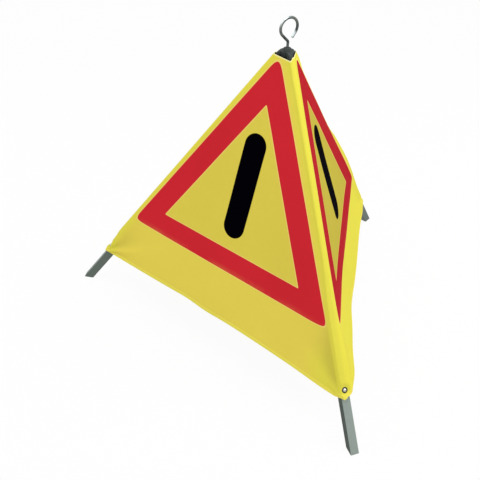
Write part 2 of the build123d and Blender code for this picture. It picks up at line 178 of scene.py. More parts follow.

# Painted shade: depth of hollow and height of fold that are fully shaded, in metres, and how much closer to
# the tube than the hollow it lies, then the lines beside the sewn crease and above the hem: distance and half
# width in metres, and strength
FULLY_SHADED_HOLLOW = 0.0075
FULLY_SHADED_FOLD = 0.0084
SHADE_CLOSENESS = 1.6
SEAM_SHADE_LINES = ((0.004, 0.004, 0.35),)
HEM_SHADE_LINES = ((0.002, 0.003, 0.20),)

# Distance from a ridge, in metres, and shares of a greener corner's reach, over which the more orange yellow
# begins
GREENER_RIDGE = 0.030
GREENER_CORNER = (0.6, 1.2)

# Rows of the grid below the opening and above the lower edge, in millimetres, how pale the cut edge is in
# the first rows, how many of the last are double cloth, and the row and the column beside the ridge that
# are sewn
OPENING_STEPS = (0.0, 0.5, 1.2, 2.4, 4.0)
HEM_STEPS = (12.0, 10.5, 9.3, 8.6, 7.6, 6.0, 4.0, 2.0, 1.0, 0.4, 0.0)
RIM_ROWS = (1.0, 0.9, 0.7, 0.3)
DOUBLE_ROWS = 8
STITCH_ROW = -6
STITCH_COLUMN = -2

# Columns of the grid: steps round a fold, and how closely those of a panel crowd towards its ridge
FOLD_STEPS = 5
COLUMN_CROWDING = 1.6

# Share of the thread's width by which a stitch is raised, and the least angle of a sharp edge, in degrees
STITCH_RAISE = 0.2
SHARP_EDGE = 50

# Lamps: width in metres, then azimuth and height above the horizon in degrees
LAMPS = {"top": (1.6, 330.0, 80.0), "key": (1.2, 35.0, 40.0), "fill": (1.2, 300.0, 30.0),
         "side": (1.2, 205.0, 35.0)}


def number(name, description, default, **kind):
    """A number that a user may change."""
    return FloatProperty(name=name, description=description, default=default, **kind)


def length(name, description, default):
    """A size in metres."""
    return number(name, description, default, unit="LENGTH", precision=4)


def angle(name, description, degrees):
    """An angle, given in degrees."""
    return number(name, description, math.radians(degrees), unit="ROTATION")


def power(name, description, default):
    """Power of a lamp in watts."""
    return number(name, description, default, unit="POWER")


def colour(name, description, red, green, blue):
    """A colour written in the screen's own numbers from 0 to 255, kept as light."""
    light = [linear(value / 255) for value in (red, green, blue)]
    return FloatVectorProperty(name=name, description=description, default=light, size=3, subtype="COLOR",
                               min=0.0, max=1.0)


def linear(value):
    """Light for one of the screen's numbers, from 0 to 1."""
    return value / 12.92 if value <= 0.04045 else ((value + 0.055) / 1.055) ** 2.4


class SignCoverSizes(bpy.types.PropertyGroup):
    """Shape of the cloth cover. Drops are measured down a panel from the point where its edges would meet."""
    apex_height: length("Apex height", "Floor to where the outer faces of the legs would meet", 0.859)
    leg_angle: angle("Leg angle", "Legs from the vertical when spread", 35.264)
    crease_half: length("Crease", "Half width that a ridge would have if it lay on the tube", 0.01278)
    rivet_reach: length("Rivet", "Corner rivet from the apex, along the leg", 0.879)
    tip: length("Tip", "How far the lower edge hangs down over a leg", 0.0006)
    thickness: length("Cloth", "Thickness of the coated cloth", 0.0008)
    seam_fold: length("Seam fold", "Reach of the sharp fold on the sewn side of a ridge", 0.0018)
    soft_fold: length("Soft fold", "Reach of the soft fold on its other side", 0.0042)
    slack_fold: length("Slack fold", "Reach of the round fold high on the rear ridge", 0.0110)
    swell: length("Swell", "How far the slack ridge over the rear leg stands out", 0.011)
    swell_drop: length("Swell place", "Drop of the middle of the swell", 0.570)
    swell_run: length("Swell run", "Half length of the swell", 0.139)
    wobble: length("Wobble", "Height of the slow waves in the cloth", 0.0008)
    hem: length("Hem", "Width of the turned lower edge", 0.009)
    hem_rise: length("Hem rise", "How far the hem stands proud", 0.0008)
    follow_reach: length("Follow reach", "Width over which the cloth goes over from the head to a leg", 0.430)
    stitch_pitch: length("Stitch pitch", "Distance between stitches", 0.0042)
    stitch_length: length("Stitch", "Length of a stitch", 0.0031)
    stitch_width: length("Thread", "Thickness of the thread", 0.0006)
    rows: IntProperty(name="Rows", description="Steps down the cloth", default=150, min=40, max=240)
    columns: IntProperty(name="Columns", description="Steps across half a panel", default=64, min=16, max=120)


class SignPrint(bpy.types.PropertyGroup):
    """Warning figure on each panel, with drops as on the cover."""
    outer_top: length("Border top", "Sharp upper corner of the border", 0.0624)
    outer_base: length("Border base", "Lower edge of the border", 0.6606)
    outer_half: length("Border half width", "Half of the border's sharp lower edge", 0.351)
    inner_top: length("Field top", "Upper corner of the yellow field", 0.1859)
    inner_base: length("Field base", "Lower edge of the yellow field", 0.5971)
    inner_half: length("Field half width", "Half of the field's lower edge", 0.240)
    top_round: length("Top rounding", "Reach of the rounding of the upper corner", 0.043)
    base_round: length("Base rounding", "Reach of the rounding of the lower corners", 0.038)
    field_round: length("Field rounding", "Reach of the rounding of the field's corners", 0.006)
    bar_top: length("Bar top", "Upper end of the black bar", 0.264)
    bar_base: length("Bar base", "Lower end of the black bar", 0.561)
    bar_half: length("Bar half width", "Half width of the black bar", 0.0343)
    edge: length("Ink edge", "Softness of the ink's edge", 0.0008)
    halo: length("Pale edge", "Width of the pale edge round the border", 0.0034)
    # Painted sheen: a paler, pinker red in patches along the lower edge of the border
    sheen_band: length("Rubbed edge", "Width of the rubbed lower edge of the border", 0.016)
    # The first yellow is the more orange one of the panels' flats, the second the greener one of their ridges
    # and lower corners and of the whole right panel, where it is a painted light tone of its lit side
    yellow: colour("Yellow", "Coated cloth, faded", 227, 208, 83)
    greener: colour("Fresh yellow", "Coated cloth out of the sun", 222, 213, 75)
    hem_yellow: colour("Hem yellow", "Double cloth of the hem", 231, 218, 86)
    field: colour("Field", "Yellow inside the border", 218, 201, 78)
    red: colour("Red", "Border ink", 203, 40, 50)
    # Colour of the painted sheen on the red
    painted_sheen: colour("Rubbed red", "Border ink that is rubbed thin", 208, 100, 66)
    black: colour("Black", "Bar ink", 2, 2, 6)
    pale: colour("Pale edge colour", "Cloth beside the border", 244, 212, 124)
    rim: colour("Cut edge", "Pale cut edge of the opening", 248, 240, 186)
    # Painted shade: the yellow of the shaded hollows and folds at the feet and of the lines beside the sewn
    # crease and above the hem
    soil: colour("Soil", "Yellow where dirt gathers", 194, 183, 76)
    thread: colour("Thread colour", "Sewing thread", 214, 200, 84)


class SignMetal(bpy.types.PropertyGroup):
    """Finishes of the legs and fittings."""
    tube: colour("Tube", "Dull galvanised tube", 139, 151, 144)
    # Painted shade: the first of these on faces of the tube that are not turned up, the second, darker, on
    # faces turned away from the key lamp
    tube_side_shade: colour("Tube shade", "Faces of the tube that stay dark", 92, 103, 95)
    tube_away_shade: colour("Tube lee", "Faces of the tube turned from the weather", 42, 56, 47)
    wire: colour("Hook wire", "Drawn wire", 112, 116, 110)
    wire_dark: colour("Hook scale", "Dark scale on the wire", 52, 62, 62)
    # Painted highlight on the crown of the hook's ring and on its tip
    wire_highlight: colour("Rubbed wire", "Wire that is rubbed bright", 214, 224, 224)
    zinc: colour("Zinc", "Bright plated fittings", 206, 206, 200)
    ring: colour("Ring", "Blackened washer", 52, 52, 48)
    alloy: colour("Alloy", "Cast knuckles", 168, 170, 170)
    plastic: colour("Head", "Black moulded head", 32, 39, 38)
    dust: colour("Dust", "Dust on the head", 98, 106, 103)
    spring: colour("Spring", "Oiled spring steel", 112, 112, 114)
    spring_wire: length("Spring wire", "Thickness of the spring's wire", 0.0015)
    spring_turns: number("Spring turns", "Turns of the spring", 7.5)


class SignStage(bpy.types.PropertyGroup):
    """Camera, floor and lamps."""
    camera_azimuth: angle("Camera azimuth", "Way round the object, from the front", 38.302)
    camera_elevation: angle("Camera elevation", "Height of the view above the horizon", 38.401)
    camera_roll: angle("Camera roll", "Tilt of the picture", 2.484)
    camera_right: length("Camera right", "Camera to the right of the apex, in the picture", -0.116681)
    camera_up: length("Camera up", "Camera above the apex, in the picture", -0.4798)
    camera_back: length("Camera distance", "Camera behind the apex", 1.69767)
    focal_pixels: number("Focal length", "Focal length in pixels", 695.209)
    sensor: number("Sensor", "Sensor width in millimetres", 36.0, unit="CAMERA")
    floor: colour("Floor", "Pale floor", 226, 226, 225)
    floor_half: length("Floor half width", "Half width of the floor", 30.0)
    floor_white: number("Floor white", "Share of plain white that the camera sees", 0.95, subtype="FACTOR")
    sky: number("Room light", "Strength of the room's even light", 0.76)
    top: power("Top", "Power of the large lamp overhead", 36.0)
    key: power("Key", "Power of the lamp on the right", 26.0)
    fill: power("Fill", "Power of the lamp in front", 3.0)
    side: power("Side", "Power of the lamp on the left", 8.0)
    lamp_distance: length("Lamp distance", "Distance of the lamps from the middle of the object", 3.0)


def cover_sizes():
    return bpy.context.scene.sign_cover


def print_sizes():
    return bpy.context.scene.sign_print


def metal():
    return bpy.context.scene.sign_metal


def stage_sizes():
    return bpy.context.scene.sign_stage


class Socket:
    """An output of a node, which takes part in Python sums."""

    def __init__(self, nodes, socket):
        self.nodes = nodes
        self.socket = socket

    def output(self, name):
        """Another output of the same node."""
        return Socket(self.nodes, self.socket.node.outputs[name])

    def maths(self, operation, *others, clamp=False):
        settings = {"operation": operation, "use_clamp": clamp}
        return self.nodes.node("ShaderNodeMath", settings, [self, *others])

    def __add__(self, other):
        return self.maths("ADD", other)

    __radd__ = __add__

    def __sub__(self, other):
        return self.maths("SUBTRACT", other)

    def __rsub__(self, other):
        return self.nodes.node("ShaderNodeMath", {"operation": "SUBTRACT"}, [other, self])

    def __mul__(self, other):
        return self.maths("MULTIPLY", other)

    __rmul__ = __mul__

    def __truediv__(self, other):
        return self.maths("DIVIDE", other)

    def __abs__(self):
        return self.maths("ABSOLUTE")

    def clamp(self):
        return self.maths("ADD", 0.0, clamp=True)


class Nodes:
    """A tree of nodes under construction."""

    def __init__(self, tree):
        self.tree = tree
        tree.nodes.clear()

    def node(self, kind, settings, sockets, out=0):
        """Adds a node, sets it up, then feeds its sockets by place or by name, and gives one output."""
        made = self.tree.nodes.new(kind)
        for key, value in settings.items():
            if key == "stops":
                set_stops(made.color_ramp, value)
            else:
                setattr(made, key, value)
        pairs = sockets.items() if isinstance(sockets, dict) else enumerate(sockets)
        for key, value in pairs:
            if isinstance(value, Socket):
                self.tree.links.new(value.socket, made.inputs[key])
            elif value is not None:
                made.inputs[key].default_value = value
        return Socket(self, made.outputs[out]) if made.outputs else None

    def seen(self):
        """1 for the rays by which the background is seen, straight or in metal and glass."""
        camera = self.node("ShaderNodeLightPath", {}, [], out="Is Camera Ray")
        return (camera + camera.output("Is Glossy Ray") + camera.output("Is Transmission Ray")).clamp()

    def deliver(self, geometry, material):
        """Ends a group of geometry nodes with a plain mesh in one material."""
        solid = self.node("GeometryNodeRealizeInstances", {}, {"Geometry": geometry})
        finished = self.node("GeometryNodeSetMaterial", {}, {"Geometry": solid, "Material": material})
        self.node("NodeGroupOutput", {}, {"Made": finished})
        return self.tree


class Finish(Nodes):
    """A material under construction."""

    def __init__(self, name):
        self.material = bpy.data.materials.new(name)
        self.material.use_nodes = True
        super().__init__(self.material.node_tree)

    def mix(self, share, first, second, blend="MIX"):
        """A colour between two colours."""
        settings = {"data_type": "RGBA", "blend_type": blend}
        return self.node("ShaderNodeMix", settings, {0: share, 6: rgba(first), 7: rgba(second)}, out=2)

    def shade(self, base, tint):
        """A colour darkened by another one or by a grey."""
        return self.mix(1.0, base, tint, "MULTIPLY")

    def noise(self, where, scale, detail=2.0, roughness=0.5):
        sockets = {"Vector": where, "Scale": scale, "Detail": detail, "Roughness": roughness}
        return self.node("ShaderNodeTexNoise", {}, sockets)

    def spread(self, pattern, low, high, start=0.3, stop=0.7):
        """From one grey to another as a pattern goes from a start to a stop."""
        return self.node("ShaderNodeValToRGB", {"stops": ((start, low), (stop, high))}, [pattern])

    def object_place(self):
        return self.node("ShaderNodeTexCoord", {}, [], out="Object")

    def object_normal(self):
        return self.node("ShaderNodeTexCoord", {}, [], out="Normal")

    def near(self, place, centre, radius):
        """From 1 round a point, given from the axis, to 0 at a radius from it."""
        centre = Vector(centre) + AXIS
        away = self.node("ShaderNodeVectorMath", {"operation": "DISTANCE"}, [place, centre], out="Value")
        steep = 1.6
        return (steep - away * (steep / radius)).clamp()

    def facing(self, direction, low, high):
        """From 0 on faces turned away from a direction to 1 on faces turned to it."""
        pair = [self.object_normal(), Vector(direction).normalized()]
        turned = self.node("ShaderNodeVectorMath", {"operation": "DOT_PRODUCT"}, pair, out="Value")
        return ((turned - low) / (high - low)).clamp()

    def attribute(self, name):
        return self.node("ShaderNodeAttribute", {"attribute_name": name}, [], out="Fac")

    def split(self, vector):
        """The first two parts of a vector."""
        first = self.node("ShaderNodeSeparateXYZ", {}, [vector])
        return first, first.output("Y")

    def bump(self, height, strength, distance, normal=None):
        sockets = {"Strength": strength, "Distance": distance, "Height": height, "Normal": normal}
        return self.node("ShaderNodeBump", {}, sockets)

    def surface(self, **sockets):
        """Ends the material in one Principled shader. Socket names are written with underscores."""
        named = {key.replace("_", " ").replace("Ior", "IOR"): value for key, value in sockets.items()}
        return self.end(self.node("ShaderNodeBsdfPrincipled", {}, named))

    def end(self, shader):
        self.node("ShaderNodeOutputMaterial", {}, {"Surface": shader})
        return self.material


def set_stops(ramp, stops):
    """Gives a colour ramp its two stops of place and grey."""
    for element, (place, grey) in zip(ramp.elements, stops):
        element.position = place
        element.color = (grey, grey, grey, 1.0)


def rgba(value):
    """A colour with its alpha, or a link as it is."""
    if isinstance(value, Socket):
        return value
    return (*value[:3], 1.0)


def cloth_finish(name):
    """Coated cloth with the printed figure, a woven ground seen through the coat, and painted shade in its
    hollows and folds.
    """
    figure = print_sizes()
    finish = Finish(name)
    flat = finish.node("ShaderNodeUVMap", {"uv_map": "panel"}, [])
    x, y = finish.split(flat)
    outer = triangle_distance(x, y, figure.outer_top, figure.outer_base, figure.outer_half,
                              figure.top_round, figure.base_round)
    inner = triangle_distance(x, y, figure.inner_top, figure.inner_base, figure.inner_half,
                              figure.field_round, figure.field_round)
    shapes = (outer, inner, bar_distance(x, y))
    border, field, bar = [(0.5 - distance / figure.edge).clamp() for distance in shapes]
    halo = (1 - outer / figure.halo).clamp() * (1 - border) + (1 + inner / figure.halo).clamp() * field
    place = finish.object_place()
    slow = finish.noise(place, scale=5.0, detail=3.0)
    fine = finish.noise(place, scale=60.0, detail=3.0)
    # The ink factor darkens the print of the right and back panels: painted shade
    ink = finish.attribute("ink")
    # Greener yellow on ridges, lower corners and the whole right panel, where it is a painted light tone of
    # its lit side
    ground = finish.mix(finish.attribute("fade"), figure.greener, figure.yellow)
    ground = finish.mix(border * field, ground, finish.shade(figure.field, ink))
    ground = finish.mix(finish.attribute("hem"), ground, figure.hem_yellow)
    # Painted shade in the hollows and folds at the feet, beside the sewn crease and above the hem
    ground = finish.mix(finish.attribute("soil") * (0.30 + slow * 0.4), ground, figure.soil)
    ground = finish.mix(halo, ground, figure.pale)
    ground = finish.shade(ground, finish.spread(slow * 0.7 + fine * 0.3, 0.95, 1.0))
    red = finish.shade(figure.red, ink * finish.spread(slow, 0.94, 1.0))
    # Painted sheen in patches along the lower edge of the red border
    sheen_noise = finish.noise(place, scale=9.0, detail=4.0, roughness=0.6)
    patches = finish.spread(sheen_noise, 0.0, 0.55, start=0.44, stop=0.62)
    red = finish.mix((1 - (figure.outer_base - y) / figure.sheen_band).clamp() * patches, red, figure.painted_sheen)
    printed = finish.mix(border * (1 - field), ground, red)
    printed = finish.mix(bar, printed, figure.black)
    printed = finish.mix(finish.attribute("rim"), printed, figure.rim)
    wrinkle = finish.noise(place, scale=26.0, detail=4.0, roughness=0.55)
    normal = finish.bump(wrinkle, strength=0.08, distance=0.004)
    normal = finish.bump(woven_height(finish, flat), strength=0.22, distance=0.0003, normal=normal)
    roughness = 0.60 + fine * 0.10 + bar * 0.12
    return finish.surface(Base_Color=printed, Roughness=roughness, Normal=normal, Specular_Ior_Level=0.003)


def triangle_distance(x, y, top, base, half, top_round, base_round):
    """Signed distance to a triangle that stands on its base, with rounded corners."""
    lean = math.atan2(half, base - top)
    along = (y - top) * math.sin(lean)
    right = x * math.cos(lean) - along
    left = x * -math.cos(lean) - along
    sides = right.maths("SMOOTH_MAX", left, top_round)
    return sides.maths("SMOOTH_MAX", y - base, base_round)


def bar_distance(x, y):
    """Signed distance to the upright bar with round ends."""
    figure = print_sizes()
    middle = (figure.bar_top + figure.bar_base) / 2
    straight = (figure.bar_base - figure.bar_top) / 2 - figure.bar_half
    beyond = (abs(y - middle) - straight).maths("MAXIMUM", 0.0)
    return (x * x + beyond * beyond).maths("SQRT") - figure.bar_half


def woven_height(finish, flat):
    """Height of a plain weave, one thread to a millimetre."""
    turns = 2 * math.pi / MM
    scaled = finish.node("ShaderNodeVectorMath", {"operation": "SCALE"}, {0: flat, "Scale": turns})
    across, along = finish.split(scaled)
    return across.maths("SINE") * along.maths("SINE")


def tube_finish():
    """Dull galvanised steel with zinc patches, with painted shade on faces not turned up and deeper painted
    shade on faces turned away from the key lamp.
    """
    look = metal()
    finish = Finish("galvanised_tube")
    place = finish.object_place()
    patches = finish.node("ShaderNodeTexVoronoi", {"feature": "SMOOTH_F1"},
                          {"Vector": place, "Scale": 95.0, "Smoothness": 0.6})
    slow = finish.noise(place, scale=14.0, detail=4.0)
    fine = finish.noise(place, scale=320.0, detail=3.0)
    # Painted light on faces turned up, and painted shade on faces turned to the front left, away from the key
    # lamp
    painted_light = finish.facing(UP, low=0.05, high=0.50)
    painted_away_shade = finish.facing((-0.50, -0.87, 0.0), low=0.60, high=0.95)
    zinc = finish.mix(painted_away_shade, finish.mix(painted_light, look.tube_side_shade, look.tube), look.tube_away_shade)
    base = finish.shade(zinc, finish.spread(patches * 0.6 + slow * 0.6, 0.92, 1.0, start=0.25, stop=0.85))
    roughness = finish.spread(slow * 0.6 + fine * 0.4, 0.46, 0.64)
    normal = finish.bump(fine, strength=0.12, distance=0.0004)
    return finish.surface(Base_Color=base, Metallic=0.35, Roughness=roughness, Normal=normal)


def wire_finish():
    """Drawn wire with dark scale, and painted highlights on the crown of the ring and at its tip."""
    look = metal()
    finish = Finish("drawn_wire")
    place = finish.object_place()
    flakes = finish.noise(place, scale=45.0, detail=3.0)
    fine = finish.noise(place, scale=900.0)
    base = finish.mix(finish.spread(flakes, 0.0, 1.0, start=0.36, stop=0.64), look.wire, look.wire_dark)
    # Painted highlights on the upper outer side of the ring's crown and on the upper side of the tip
    crown_highlight = finish.near(place, (-0.0050, -0.0120, 0.9205), radius=0.024)
    crown_highlight = crown_highlight * finish.facing((-0.30, -0.70, 0.65), low=0.35, high=0.75)
    tip = finish.near(place, (0.0035, 0.0138, 0.8800), radius=0.013)
    tip = tip * finish.facing((-0.30, -0.80, 0.50), low=-0.2, high=0.4)
    base = finish.mix(crown_highlight.maths("MAXIMUM", tip), base, look.wire_highlight)
    roughness = finish.spread(flakes * 0.7 + fine * 0.3, 0.24, 0.40)
    normal = finish.bump(fine, strength=0.10, distance=0.0002)
    return finish.surface(Base_Color=base, Metallic=0.85, Roughness=roughness, Normal=normal)


def plated_finish(name, shade, rough, metallic=1.0):
    """Plated or blackened fitting, with handling marks."""
    finish = Finish(name)
    place = finish.object_place()
    marks = finish.noise(place, scale=240.0, detail=4.0, roughness=0.6)
    fine = finish.noise(place, scale=1400.0)
    base = finish.shade(shade, finish.spread(marks, 0.78, 1.0, start=0.35, stop=0.65))
    handled = rough + 0.16
    roughness = finish.spread(marks * 0.6 + fine * 0.4, rough, handled)
    normal = finish.bump(fine, strength=0.10, distance=0.0002)
    return finish.surface(Base_Color=base, Metallic=metallic, Roughness=roughness, Normal=normal)


def cast_finish():
    """Sand-cast alloy, rough and matt."""
    finish = Finish("cast_alloy")
    place = finish.object_place()
    grain = finish.noise(place, scale=700.0, detail=4.0, roughness=0.6)
    slow = finish.noise(place, scale=90.0, detail=3.0)
    base = finish.shade(metal().alloy, finish.spread(slow, 0.80, 1.0))
    normal = finish.bump(grain, strength=0.35, distance=0.0005)
    roughness = finish.spread(grain, 0.45, 0.62)
    return finish.surface(Base_Color=base, Metallic=0.9, Roughness=roughness, Normal=normal)


def plastic_finish():
    """Black moulding with a fine grain and dust in patches."""
    look = metal()
    finish = Finish("moulded_head")
    place = finish.object_place()
    grain = finish.noise(place, scale=1100.0, detail=3.0, roughness=0.6)
    dust = finish.noise(place, scale=130.0, detail=4.0)
    lying = finish.spread(dust, 0.25, 1.0) * finish.facing(UP, low=0.2, high=0.95)
    base = finish.mix(lying * 0.35, look.plastic, look.dust)
    normal = finish.bump(grain, strength=0.25, distance=0.0003)
    roughness = finish.spread(dust, 0.42, 0.60)
    return finish.surface(Base_Color=base, Roughness=roughness, Normal=normal, Specular_Ior_Level=0.2)


def thread_finish():
    """Polyester thread with its twist."""
    finish = Finish("thread")
    place = finish.object_place()
    twist = finish.noise(place, scale=2600.0)
    base = finish.shade(print_sizes().thread, finish.spread(twist, 0.80, 1.0))
    normal = finish.bump(twist, strength=0.3, distance=0.0002)
    return finish.surface(Base_Color=base, Roughness=0.62, Normal=normal)


def level_direction(turn):
    return np.array((math.cos(turn), math.sin(turn), 0.0))


def smooth(low, high, value):
    """Smooth step from 0 to 1."""
    share = np.clip((value - low) / (high - low), 0.0, 1.0)
    return share * share * (3 - 2 * share)


def hump(place, half_width, value):
    """Smooth bump of height 1."""
    return np.exp(-((value - place) / half_width) ** 2)


def humps(table, value):
    """Sum of smooth bumps, each given by its place, half width and height."""
    return sum(height * hump(place, half_width, value) for place, half_width, height in table)


class LegSpace:
    """Directions round one leg: outwards, sideways, down its ridge and square to its outer face."""

    def __init__(self, name):
        cover = cover_sizes()
        turn = AZIMUTHS[name]
        self.out = level_direction(turn)
        self.side = level_direction(turn + math.pi / 2)
        self.down = math.sin(cover.leg_angle) * self.out - math.cos(cover.leg_angle) * UP
        self.face = math.cos(cover.leg_angle) * self.out + math.sin(cover.leg_angle) * UP
        self.apex = np.array((AXIS.x, AXIS.y, cover.apex_height))


class PanelSpace:
    """One flat face of the cover: across runs level against the clock from its middle, drop runs down it."""

    def __init__(self, turn):
        cover = cover_sizes()
        self.tilt = math.atan(math.cos(SIXTH) * math.tan(cover.leg_angle))
        out = level_direction(turn)
        self.normal = math.cos(self.tilt) * out + math.sin(self.tilt) * UP
        self.down = math.sin(self.tilt) * out - math.cos(self.tilt) * UP
        self.along = level_direction(turn + math.pi / 2)
        self.slope = math.sin(SIXTH) * math.tan(cover.leg_angle) * math.cos(self.tilt)
        self.corner = np.array((AXIS.x, AXIS.y, cover.apex_height + self.corner_rise()))

    def corner_rise(self):
        """Height of the point where the flat faces would meet, above the apex of the legs."""
        return cover_sizes().crease_half * math.sin(SIXTH) / math.tan(self.tilt)

    def place(self, across, drop, rise):
        """Points on the face, for columns of numbers."""
        across, drop, rise = [part[..., None] for part in np.broadcast_arrays(across, drop, rise)]
        return self.corner + across * self.along + drop * self.down + rise * self.normal

    def half(self, drop, ridge):
        """Half width of the face, up to the crease of a ridge with this half width."""
        return self.slope * drop - ridge / math.cos(SIXTH)


def ridge_half(leg, drop):
    """Half width of a ridge, which goes over smoothly from each given width to the next."""
    steps = RIDGE_HALVES[leg]
    found = steps[0][1]
    for (low, before), (high, after) in zip(steps, steps[1:]):
        found = found + (after - before) * smooth(low, high, drop)
    return found


def fold_reach(leg, hand, drop):
    """Reach of the fold on one hand of a ridge, before it or after it."""
    cover = cover_sizes()
    if hand > 0:
        return np.full_like(drop, cover.soft_fold)
    if leg != "rear":
        return np.full_like(drop, cover.seam_fold)
    slack = smooth(*SLACK_START, drop) * (1 - smooth(*SLACK_END, drop))
    return cover.seam_fold + (cover.slack_fold - cover.seam_fold) * slack


def steps_down(top, hem):
    """Drops of the rows of the cloth, closer together at the opening and at the hem."""
    upper = [top + step * MM for step in OPENING_STEPS]
    lower = [hem - step * MM for step in HEM_STEPS]
    middle = np.linspace(upper[-1], lower[0], cover_sizes().rows)[1:-1]
    return np.array([*upper, *middle, *lower])


def slow_waves(panel, across, drop):
    """Slow uneven waves, different on each panel."""
    start = WAVE_STARTS[panel]
    waves = [np.sin(a * across + b * drop + c + start) for a, b, c in SLOW_WAVES]
    return sum(waves) / len(waves)


class PanelCloth:
    """The cloth of one panel: where it lies, how it hangs and where it is cut."""

    def __init__(self, name, turn):
        self.name = name
        self.space = PanelSpace(turn)
        self.cut = PANEL_CUTS[name]

    def end_share(self, share):
        """Top edge and hem at a share of the width, from -1 at the first end to 1 at the last."""
        first, last = self.cut["top"]
        top = first + (last - first) * (share + 1) / 2
        end = 0 if share < 0 else 1
        lift = self.cut["lift"][end] * smooth(LIFT_START, 1.0, abs(share))
        uneven = humps(HEM_CUTS[self.name], share)
        return top, self.cut["hem"] + self.cut["hem_ends"][end] * share * share - lift + uneven

    def half(self, end, drop):
        """Distance from the middle to the crease at one end."""
        return self.space.half(drop, ridge_half(PANEL_LEGS[self.name][end], drop))

    def rise(self, across, drop, hem):
        """How far the cloth stands out of the flat face."""
        cover = cover_sizes()
        halves = [self.half(end, drop) for end in (0, 1)]
        half = np.where(across < 0, *halves)
        share = np.clip(across / half, -1.0, 1.0)
        below = np.maximum(hem - drop, 0.0)
        tube = self.space.half(drop, cover.crease_half)
        clear = smooth(0.0, TUBE_CLEARANCE, tube - np.abs(across))
        rise = -self.cut["sag"] * drop / hem * (1 - share * share)
        rise = rise + cover.wobble * slow_waves(self.name, across, drop)
        rise = rise + hump(0.0, HEM_WAVE_REACH, below) * humps(HEM_WAVES[self.name], across)
        for end, inwards in enumerate((across, -across)):
            rise = rise - FOOT_HOLLOWS[self.name][end] * foot_hollow(below, np.maximum(tube + inwards, 0.0))
            rise = rise + CORNER_FOLDS[self.name][end] * corner_folds(below, halves[end] + inwards)
        rise = np.where(rise < 0, rise * clear, rise)
        return rise * smooth(0.0, CREASE_CLEARANCE, half - np.abs(across))

    def soil(self, across, drop, hem):
        """Painted shade in the hollows and folds at the feet, beside the sewn crease and above the hem."""
        cover = cover_sizes()
        below = np.maximum(hem - drop, 0.0)
        tube = self.space.half(drop, cover.crease_half)
        found = np.zeros_like(drop)
        for end, inwards in enumerate((across, -across)):
            beside = np.maximum(tube + inwards, 0.0)
            hollow = foot_hollow(below, SHADE_CLOSENESS * beside)
            valley = np.maximum(-corner_folds(below, beside), 0.0)
            found = found + FOOT_HOLLOWS[self.name][end] * hollow / FULLY_SHADED_HOLLOW
            found = found + CORNER_FOLDS[self.name][end] * valley / FULLY_SHADED_FOLD
        seam = self.half(1, drop) - across
        found = found + humps(SEAM_SHADE_LINES, seam) + humps(HEM_SHADE_LINES, below - cover.hem)
        return np.clip(found, 0.0, 1.0)

    def fade(self, across, drop, hem):
        """Share of the more orange yellow, less at ridges and lower corners, none on the right panel as
        painted light of its lit side.
        """
        start, stop = GREENER_CORNER
        found = self.cut["fade"]
        for end, inwards in enumerate((across, -across)):
            reach = self.cut["greener"][end]
            beside = self.half(end, drop) + inwards
            away = np.hypot(beside, np.maximum(hem - drop, 0.0))
            found = found * smooth(0.0, GREENER_RIDGE, beside) * smooth(start * reach, stop * reach, away)
        return found

    def points(self, across, drop, hem):
        return self.space.place(across, drop, self.rise(across, drop, hem) + hem_rise(hem - drop))

    def flat_places(self, across, drop):
        """Places on the printed panel."""
        return np.stack(np.broadcast_arrays(across - self.cut["print_shift"], drop), axis=-1)


def foot_hollow(below, beside):
    """A long hollow beside the foot of a leg, clear of the tube and of the stiff hem."""
    narrow = 1 - HOLLOW_NARROWING * smooth(*HOLLOW_TAPER, below)
    share = beside / (HOLLOW_BESIDE * narrow)
    height = hump(HOLLOW_HEIGHT, HOLLOW_RUN, below) * smooth(*HOLLOW_START, below)
    return height * narrow * share**2 * np.exp(2 - 2 * share)


def corner_folds(below, beside):
    """Folds that fan out from a riveted corner."""
    run = np.hypot(below, beside) + MM
    turn = np.degrees(np.arctan2(below, beside + below * math.tan(SIXTH / 2)))
    return humps(FAN_FOLDS, turn) * run / FAN_REACH * np.exp(1 - run / FAN_REACH)


def hem_rise(below):
    """The turned hem stands proud of the cloth above it."""
    cover = cover_sizes()
    start, stop = HEM_STEP
    shoulder = 1 - smooth(cover.hem + start, cover.hem + stop, below)
    edge = 1 - HEM_EDGE_LOSS * (1 - smooth(0.0, HEM_ROUNDING, below))
    return cover.hem_rise * shoulder * edge


